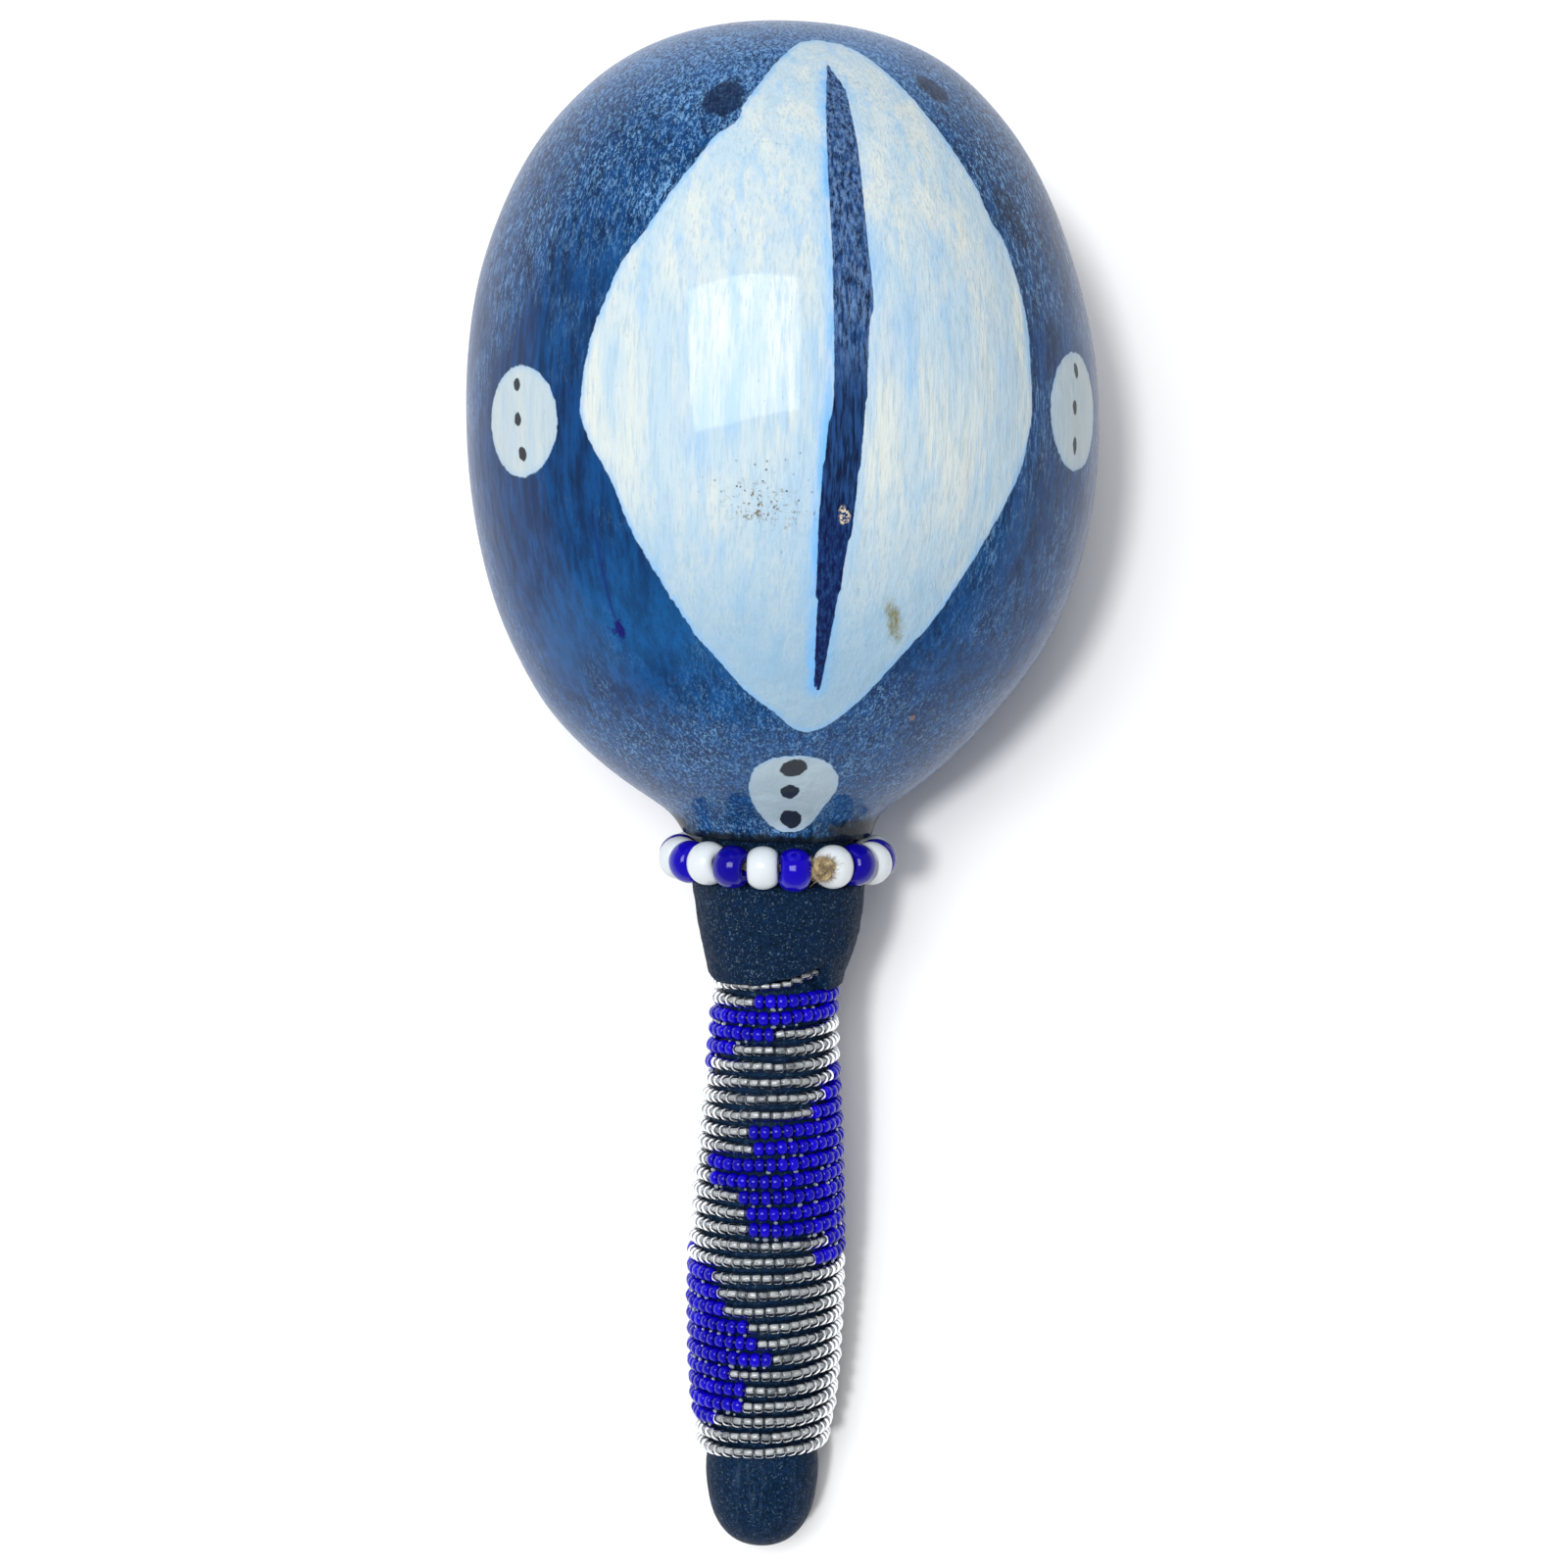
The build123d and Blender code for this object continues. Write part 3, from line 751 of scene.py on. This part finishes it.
# ---- handle and filler
def swollen(places, amounts):
    """The places moved away from the axis by amounts in mm."""
    from_axis = places * (1, 1, 0)
    from_axis /= np.maximum(np.linalg.norm(from_axis, axis=1), 1e-6)[:, None]
    return places + from_axis * amounts[:, None]


def handle():
    columns = 112
    rows = profile(HANDLE, 0.75)
    end = -0.02
    tenon = [(h, TENON_RADIUS, NECK_ASIDE) for h in np.linspace(TENON_START, TENON_END, 20)]
    rows = np.concatenate([[(end, 1.2, 0)], rows, tenon])
    angles = np.arange(columns) * 360 / columns
    places = ring(rows[:, 1:2], angles, rows[:, :1], rows[:, 2:]).reshape(-1, 3)
    uneven = 0.06 * rough(places, 0.25, 3) + 0.03 * rough(places, 1.1, 8)
    places = swollen(places, uneven * np.clip(places[:, 2] / 5, 0, 1))
    count = len(places)
    places = np.concatenate([places, [[0, 0, end], [NECK_ASIDE, 0, TENON_END]]])
    faces = grid_faces(len(rows), columns) + fan(0, columns, count, inward=True)
    faces += fan((len(rows) - 1) * columns, columns, count + 1)
    paint = slate_finish("slate_paint_on_wood", 0.25, 0.35, bare_above=118)
    piece("handle_wood", places, faces, paint, stands_for=["handle_core"],
          floor=0.00002)


def free_end(angle):
    """How far the first turn's free end is lifted, in mm, at an unwound angle."""
    share = np.clip((angle - 5) / 37, 0, 1)
    return 2 * share**2 * (3 - 2 * share)


def filler():
    columns = 216
    angles = np.arange(columns) * 360 / columns
    signed = np.where(angles > 180, angles - 360, angles)
    first_turn = GRIP_TOP + GRIP_PITCH * signed / 360
    lifted = free_end(signed)
    past_end = np.clip((signed - 42) / 10, 0, 1)
    bottom = first_turn + 1.25 + lifted
    bottom = bottom * (1 - past_end) + past_end * (first_turn - GRIP_PITCH + 1.35)
    # on the left the filler's lip laps over the beads
    lap = np.clip(1 - np.abs((signed + 40) / 42), 0, 1)
    bottom -= 1 * np.minimum(1, 2.5 * lap)
    bottom += 0.18 * rough(ring(13, angles, 112), 0.5, 4)
    upper = profile(FILLER, 0.6)
    shoulder = FILLER[-1][0]
    rows = []
    for level in np.linspace(0, 1, 38):
        height = bottom + level * (shoulder - bottom)
        radius = np.interp(height, upper[:, 0], upper[:, 1])
        aside = np.interp(height, upper[:, 0], upper[:, 2])
        lip = np.clip(1 - (height - bottom) / 0.7, 0, 1)
        rows.append(ring(radius - 0.55 * lip**2, angles, height, aside))
    waist = [(132.3, 16.4), (132.6, 15.6), (133.4, 15.1), (136.4, 15), (139.6, 15), (NECK_END, 15)]
    rows += [ring(radius, angles, height, NECK_ASIDE) for height, radius in waist]
    rows.insert(0, ring(TENON_RADIUS + 0.15, angles, bottom + 0.3, NECK_ASIDE))
    places = np.concatenate(rows)
    sandy = 0.16 * rough(places, 0.55, 2) + 0.09 * rough(places, 1.5, 7)
    bump_at = ring(16.6, 58, 119.6, 1)
    sandy += 0.7 * np.exp(-((places - bump_at) ** 2).sum(1) / 3)
    sandy *= np.clip((places[:, 2] - 113) / 2, 0.4, 1)
    places, faces = swollen(places, sandy), grid_faces(len(rows), columns)
    paint = slate_finish("slate_paint_on_filler", 1, 0.6)
    piece("neck_filler_skin", places, faces, paint,
          stands_for=["neck_filler"])


# ---- collar
def ring_place(radius, angle, lift=0):
    """A place on the collar, which hangs a little lower on the left than on the right."""
    sway = 0.02 + 0.1 * np.sin(np.radians(angle - 10))
    return ring(radius, angle, COLLAR_HEIGHT + sway + lift, NECK_ASIDE)


def collar():
    dice = Random(11)
    outline = [(1.3, -2.55), (1.7, -2.92), (2.3, -3.02), (2.9, -2.88), (3.45, -2.42), (3.9, -1.68),
               (4.17, -0.86), (4.25, 0)]
    outline = mirrored(outline) + [(1.1, 1.6), (1.05, 0), (1.1, -1.6)]
    template = turned(outline, 40)
    glass = {
        "white": bead_finish("white_glass", "dde3e6", "ccd4d9", 0.06),
        "blue": bead_finish("cobalt_glass", "1200ac", "0a0280", 0.05),
    }
    step = (360 - 2 * KNOT_GAP) / (RING_BEADS - 1)
    for number in range(RING_BEADS):
        colour = "blue" if number % 2 else "white"
        node = f"collar_bead_{colour}_{number // 2 + 1:02d}"
        angle = KNOT_ANGLE + KNOT_GAP + number * step + dice.uniform(-0.35, 0.35)
        lift = -0.45 if number == RING_BEADS - 1 else dice.uniform(-0.18, 0.18)
        place = ring_place(RING_RADIUS + dice.uniform(0.18, 0.28), angle, lift)
        radial = ring(1, angle, 0)
        tangent = np.array([cos(radians(angle)), -sin(radians(angle)), dice.uniform(-0.09, 0.09)])
        tangent += radial * dice.uniform(-0.06, 0.06)
        size = 1 + dice.uniform(-0.025, 0.02)
        points, faces, _ = strung(template, [(place, radial, tangent, size)])
        points = points + 0.05 * rough(points, 0.4, number)[:, None] * radial
        bead = piece(node + "_glass", points, faces, glass[colour], "collar", [node])
        mark(bead, "tone", np.full(len(points), dice.random()))

    # three strands laid up into a cord
    strands, steps, lay_radius = [], 420, 0.42
    angles = np.arange(steps) * 360 / steps
    for strand in range(3):
        lay = np.radians(26 * angles + 120 * strand)
        path = ring_place(RING_RADIUS + lay_radius * np.cos(lay), angles, lay_radius * np.sin(lay))
        strands.append(tube(path, 0.43, 7, closed=True))
    points, faces = joined(strands)
    cord_finish = fibre_finish("waxed_cord", "3a3a3c", "6a645a", "22262c")
    piece("collar_cord_strands", points, faces, cord_finish, "collar", ["collar_cord"])
    knot(dice)


def knot(dice):
    """A small overhand knot with its ends teased out into fuzz."""
    centre = ring_place(RING_RADIUS + 3.4, KNOT_ANGLE + 1.5, 0.1)
    radial = ring(1, KNOT_ANGLE, 0)
    side = np.array([cos(radians(KNOT_ANGLE)), -sin(radians(KNOT_ANGLE)), 0])
    up = np.array([0, 0, 1])
    parts, loose_fibres = [], 420
    turn = np.linspace(0, 2 * pi, 90, endpoint=False)
    for ply in range(3):
        lay = 9 * turn + 2 * pi * ply / 3
        loop = 1.4 + 0.55 * np.cos(3 * turn)
        path = (
            centre
            + np.outer(loop * np.cos(2 * turn) * 1.05 + 0.2 * np.cos(lay), side)
            + np.outer(loop * np.sin(2 * turn) * 1 + 0.2 * np.sin(lay), up)
            + np.outer(0.62 * np.sin(3 * turn) + 0.2 * np.cos(lay + 1), radial)
        )
        parts.append(tube(path, 0.34, 6, closed=True))
    for _ in range(loose_fibres):
        out = np.array([dice.gauss(0, 1), abs(dice.gauss(0.35, 0.8)), dice.gauss(0, 1)])
        out /= np.linalg.norm(out)
        root = centre + side * out[0] * 1.75 + radial * out[1] * 0.7 + up * out[2] * 1.6
        curl = np.array([dice.gauss(0, 1) for _ in range(3)])
        length = dice.uniform(0.6, 1.9)
        lean = side * out[0] + radial * 0.45 * out[1] + up * out[2] + 0.5 * curl
        lean /= np.linalg.norm(lean)
        swirl = np.cross(lean, curl)
        steps = np.linspace(0, 1, 6)[:, None]
        path = root + lean * steps * length + swirl * 0.5 * length * steps**2 * dice.uniform(0.2, 1)
        parts.append(tube(path, np.linspace(0.055, 0.02, 6), 3))
    for tuft, lean in ((70, -side * 0.8 - up * 0.6), (60, side * 0.9 + up * 0.35)):
        for _ in range(tuft):
            spread = np.array([dice.gauss(0, 0.28) for _ in range(3)])
            steps = np.linspace(0, 1, 7)[:, None]
            droop = (lean + spread) * steps * dice.uniform(1.3, 2.9) - radial * 0.8 * steps**2
            path = centre + radial * 0.4 + np.array([dice.gauss(0, 0.3) for _ in range(3)]) + droop
            parts.append(tube(path, np.linspace(0.06, 0.025, 7), 3))
    points, faces = joined(parts)
    tan_finish = fibre_finish("frayed_fibre", "8f7a58", "c9b48a", "63502f")
    piece("collar_knot_fibres", points, faces, tan_finish, "collar", ["collar_cord"])


# ---- beaded grip
def string_place(travelled):
    """The string's radius, angle, height and sideways place after so many degrees of winding."""
    angle = GRIP_START - travelled
    height = GRIP_TOP + GRIP_PITCH * angle / 360
    core, aside = core_at(height)
    return core + BEAD_CLEARANCE + BEAD_RADIUS, angle, height + float(free_end(angle)), aside


def colour_at(angle):
    """The colour of the bead at an unwound angle."""
    turn = 1 + round(-angle / 360)
    within = angle + 360 * (turn - 1)
    blue = any(turn == row and first <= within <= last for row, first, last in BLUE_SPANS)
    return "blue" if blue else "silver"


def grip():
    dice = Random(5)
    beads = {"blue": [], "silver": []}
    gaps = []
    travelled, last = 0, GRIP_START + 360 * (GRIP_TURNS - 1) - GRIP_END
    while travelled < last:
        radius, angle, height, aside = string_place(travelled)
        colour = colour_at(angle)
        beads[colour].append((radius, angle, height, aside))
        if colour == "blue" and dice.random() < 0.55:
            gaps.append((radius, angle + dice.uniform(-3, 3), height - GRIP_PITCH / 2, aside))
        travelled += degrees(BEAD_SPACING[colour] / radius)

    def placed(bead, loose, size):
        radius, angle, height, aside = bead
        sway = 0.11 * sin(radians(3.1 * angle)) + 0.07 * sin(radians(7.7 * angle + 40))
        radius_here = radius + dice.uniform(-0.04, 0.06)
        place = ring(radius_here, angle, height + sway + dice.uniform(-0.05, 0.05), aside)
        radial = ring(1, angle, 0)
        drop = -GRIP_PITCH / (2 * pi * radius)
        tangent = np.array([-cos(radians(angle)), sin(radians(angle)), drop + dice.gauss(0, loose)])
        tangent = tangent + radial * dice.gauss(0, loose)
        return place, radial, tangent, np.array(size)

    outline = [(0.5, -0.62), (0.62, -0.84), (0.88, -0.96), (1.14, -0.86), (1.33, -0.55), (1.42, 0)]
    outline = mirrored(outline)
    template = turned(outline, 18)
    places, tones = [], []
    for bead in beads["blue"]:
        wide, long = 1 + dice.uniform(-0.05, 0.03), 1 + dice.uniform(-0.1, 0.06)
        places.append(placed(bead, 0.05, (wide, wide, long)))
        tones.append(dice.random())
    points, faces, owners = strung(template, places)
    names = sorted(n for n in frame["nodes"] if n.startswith("grip_blue"))
    finish = bead_finish("cobalt_seed_glass", "1200c4", "09029c", 0.1)
    blue = piece("grip_blue_beads", points, faces, finish, stands_for=names)
    mark(blue, "tone", np.array(tones)[owners])

    shell = [(0.58, -0.86), (0.86, -0.98), (1.08, -0.94), (1.22, -0.74), (1.29, -0.38), (1.3, 0)]
    shell = mirrored(shell)
    core = [(0.3, -0.84), (0.62, -0.88), (0.72, -0.7), (0.74, 0), (0.72, 0.7), (0.62, 0.88), (0.3, 0.84)]
    places, tones = [], []
    for bead in beads["silver"]:
        chance = dice.random()
        wide, long = 1 + dice.uniform(-0.06, 0.03), 1 + dice.uniform(-0.08, 0.03)
        if bead[1] > -100:
            wide *= 0.8
        places.append(placed(bead, 0.06, (wide, wide, long)))
        tones.append(0.12 * dice.random() if chance < 0.07 else dice.uniform(0.7, 1))
    names = sorted(n for n in frame["nodes"] if n.startswith("grip_silver"))
    template, glass, half = turned(shell, 18), clear_finish(), len(places) // 2
    for part, share in (("upper", places[:half]), ("lower", places[half:])):
        points, faces, _ = strung(template, share)
        piece(f"grip_silver_glass_{part}", points, faces, glass,
              stands_for=names)
    points, faces, owners = strung(turned(core, 12), places)
    cores = piece("grip_silver_linings", points, faces, silver_finish(),
                  stands_for=names)
    mark(cores, "tone", np.array(tones)[owners])

    path = []
    for at in np.arange(0, last, 6):
        radius, angle, height, aside = string_place(at)
        path.append(ring(radius, angle, height, aside))
    points, faces = tube(path, 0.2, 6)
    thread = fibre_finish("beading_thread", "454b54", "6a7079", "2c3138")
    piece("grip_thread", points, faces, thread, stands_for=["wrap_thread"])

    # beads of dried glue in the grooves between the blue turns
    outline = [(0.02, -1), (0.5, -0.87), (0.87, -0.5), (1, 0)]
    outline = mirrored(outline)
    ball = turned(outline, 10)
    specks = []
    for radius, angle, height, aside in gaps:
        place = ring(radius + dice.uniform(0.35, 0.62), angle, height + dice.uniform(-0.2, 0.2), aside)
        radial = ring(1, angle, 0)
        tangent = np.array([cos(radians(angle)), -sin(radians(angle)), dice.gauss(0, 0.3)])
        size = dice.uniform(0.2, 0.42)
        shape = np.array([0.8 * size, size, size * dice.uniform(0.9, 1.7)])
        specks.append((place, radial, tangent, shape))
    points, faces, _ = strung(ball, specks)
    points = points + 0.06 * rough(points, 1.5, 2)[:, None]
    piece("grip_glue_specks", points, faces, glue_finish())


# ---- seeds
def seeds():
    dice = Random(3)
    finish = seed_finish()
    rows, columns, pole = 17, 24, pi / 2 - 0.02
    latitudes = np.linspace(-pole, pole, rows)
    ball, _ = turned(np.stack([np.cos(latitudes), np.sin(latitudes)], 1), columns)
    faces = grid_faces(rows, columns)
    for lot in ("tossed", "circling", "rolling"):
        node, parts = "seeds_" + lot, []
        for centre in seed_centres(node):
            lobes = 0.07 * rough(ball, 1.2, 10 * dice.random())
            lobes = lobes + 0.03 * rough(ball, 3.5, 10 * dice.random())
            shape = ball * (SEED_RADIUS * (1 + lobes - 0.03))[:, None] * (1, 0.96, 0.99)
            parts.append((centre + shape, faces))
        points, all_faces = joined(parts)
        piece(node + "_coats", points, all_faces, finish, lot + "_seeds", [node])


def seed_centres(node):
    """The centres of a lot's seeds, as they lie."""
    gap = SEED_SPACING

    def spread(count):
        return [index - (count - 1) / 2 for index in range(count)]

    def rise(aside, bottom):
        return bottom - sqrt(bottom**2 - aside**2)

    if node == "seeds_tossed":
        lots = zip((187, 194), (45.2, 47.4))
        return [(gap * k, rise(gap * k, b) - b, h) for h, b in lots for k in spread(4)]
    if node == "seeds_circling":
        lots = zip((203, 210), (50.8, 51.8))
        return [ring(r, 180 + degrees(gap / r) * k, h) for h, r in lots for k in spread(6)]
    return [
        (gap * k, rise(gap * k, 52.2) - sqrt(52.2**2 - (234 - h) ** 2), h)
        for h in (217, 224)
        for k in spread(5)
    ]


# ---- studio
def studio():
    scene = bpy.context.scene
    scene.view_settings.view_transform = "Standard"

    half, level = 3.0, -0.0002
    corners = [(-half, -half), (half, -half), (half, half), (-half, half)]
    mesh = bpy.data.meshes.new("floor")
    mesh.from_pydata([(x, y, level) for x, y in corners], [], [(0, 1, 2, 3)])
    floor = bpy.data.objects.new("floor", mesh)
    scene.collection.objects.link(floor)
    f = Finish("studio_floor", Roughness=0.9, Specular_IOR_Level=0.1)
    cloud = f.noise(0.02)
    mesh.materials.append(f.done(f.mix(cloud, (0.95, 0.95, 0.95, 1), (0.97, 0.97, 0.97, 1))))

    world = bpy.data.worlds.new("studio")
    scene.world = world
    world.use_nodes = True
    nodes, links = world.node_tree.nodes, world.node_tree.links
    where = nodes.new("ShaderNodeTexCoord")
    split = nodes.new("ShaderNodeSeparateXYZ")
    ramp = nodes.new("ShaderNodeValToRGB")
    down, up = ramp.color_ramp.elements
    down.position, down.color = 0.25, (0.66, 0.66, 0.66, 1)
    up.position, up.color = 0.8, (0.4, 0.41, 0.43, 1)
    links.new(where.outputs["Generated"], split.inputs[0])
    links.new(split.outputs[2], ramp.inputs[0])
    links.new(ramp.outputs[0], nodes["Background"].inputs["Color"])
    nodes["Background"].inputs["Strength"].default_value = 0.56

    aim = Vector(to_model([0, 60, 237]))

    def lamp(kind, name, lean_across, lean_along, distance):
        data = bpy.data.lights.new(name, kind)
        light = bpy.data.objects.new(name, data)
        scene.collection.objects.link(light)
        towards = (
            outward + across * sin(radians(lean_across)) + along * sin(radians(lean_along))
        ).normalized()
        light.location = aim + towards * distance
        light.rotation_mode = "QUATERNION"
        light.rotation_quaternion = towards.to_track_quat("Z", "Y")
        return light

    window = lamp("AREA", "window", -14, 13, 1.2).data
    window.shape, window.size, window.size_y, window.energy = "RECTANGLE", 0.57, 0.8, 12
    sunlight = lamp("SUN", "sun", -13, 5, 2)
    sunlight.visible_glossy = False
    sun = sunlight.data
    sun.energy, sun.angle = 1.3, radians(6)

    data = bpy.data.cameras.new("camera")
    camera = bpy.data.objects.new("camera", data)
    scene.collection.objects.link(camera)
    data.lens, data.sensor_width, data.shift_y = 66.26, 36, -0.10
    data.clip_start, data.clip_end = 0.01, 20
    tilt, roll = radians(1.189), radians(1.1)
    back = outward * cos(tilt) + along * sin(tilt)
    upright = along * cos(tilt) - outward * sin(tilt)
    right = across * cos(roll) + upright * sin(roll)
    upwards = upright * cos(roll) - across * sin(roll)
    turn = Matrix((right, upwards, back)).transposed()
    camera.matrix_world = Matrix.Translation(to_model([1.15, 571, 194])) @ turn.to_4x4()
    scene.camera = camera


gourd()
handle()
filler()
collar()
grip()
seeds()
studio()
